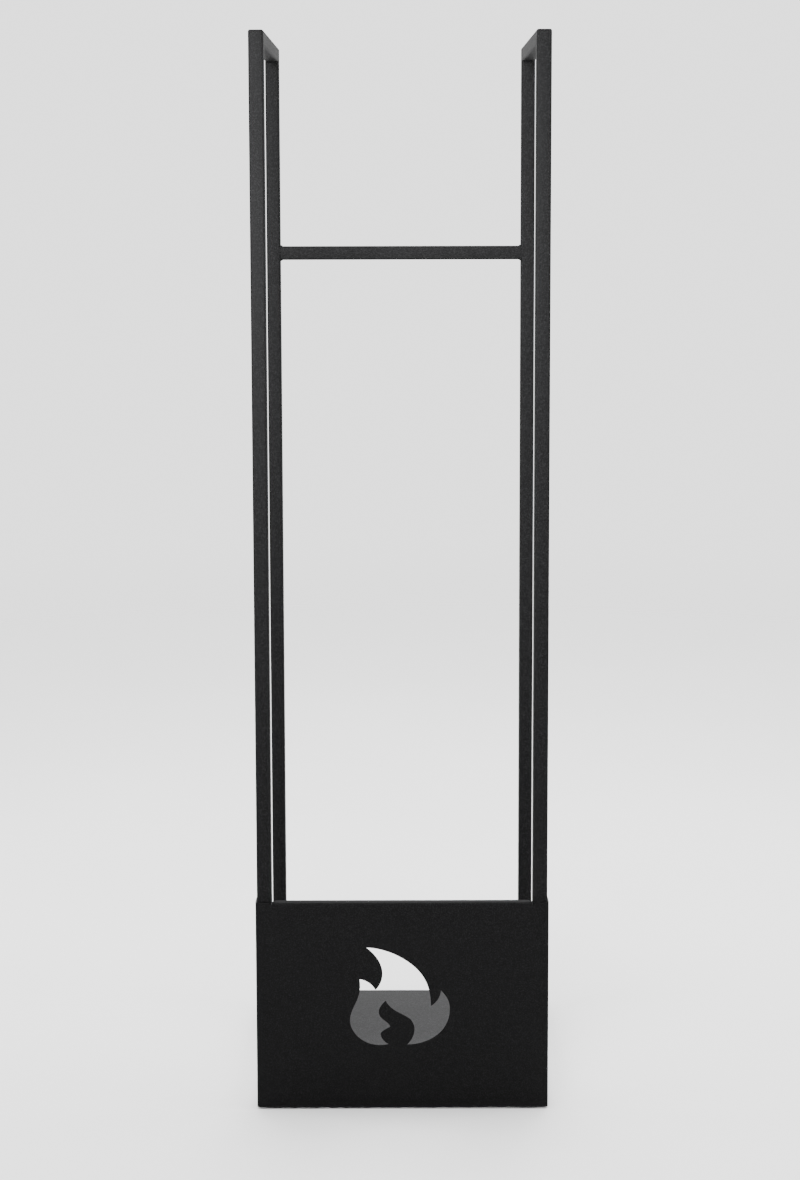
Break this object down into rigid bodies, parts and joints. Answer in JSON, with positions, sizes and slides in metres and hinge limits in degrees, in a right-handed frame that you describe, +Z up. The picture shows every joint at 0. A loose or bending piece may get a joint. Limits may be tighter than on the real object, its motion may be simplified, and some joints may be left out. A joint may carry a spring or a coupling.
{
  "type": "firewood log rack",
  "caption": "Tall, slim firewood rack: a black square-tube frame with open sides, a rear crossbar, a sheet log tray and a folded front panel with a flame cut-out.",
  "frame": {"origin": "on the floor, under the middle of the rack", "axes": "+Z up, -Y towards the front panel, +X to the right as seen from the front"},
  "size_m": [0.3, 0.25, 1.1],
  "materials": {
    "coated_tube": "matt fine-texture powder coat",
    "coated_sheet": "matt fine-texture powder coat",
    "black_fasteners": "black zinc plate",
    "rubber_feet": "matt"
  },
  "bodies": {
    "root": {"base_crossbar_front": "coated_tube", "base_crossbar_rear": "coated_tube", "base_rail_left": "coated_tube", "base_rail_right": "coated_tube", "floor_glide_front_left": "rubber_feet", "floor_glide_front_right": "rubber_feet", "floor_glide_rear_left": "rubber_feet", "floor_glide_rear_right": "rubber_feet", "front_panel": "coated_sheet", "front_post_left": "coated_tube", "front_post_right": "coated_tube", "log_tray": "coated_sheet", "panel_dome_nut_lower_left": "black_fasteners", "panel_dome_nut_lower_right": "black_fasteners", "panel_dome_nut_upper_left": "black_fasteners", "panel_dome_nut_upper_right": "black_fasteners", "panel_stud_lower_left": "black_fasteners", "panel_stud_lower_right": "black_fasteners", "panel_stud_upper_left": "black_fasteners", "panel_stud_upper_right": "black_fasteners", "panel_washer_lower_left": "black_fasteners", "panel_washer_lower_right": "black_fasteners", "panel_washer_upper_left": "black_fasteners", "panel_washer_upper_right": "black_fasteners", "rear_crossbar_lower": "coated_tube", "rear_crossbar_upper": "coated_tube", "rear_post_left": "coated_tube", "rear_post_right": "coated_tube", "top_rail_left": "coated_tube", "top_rail_right": "coated_tube"}
  },
  "joints": []
}
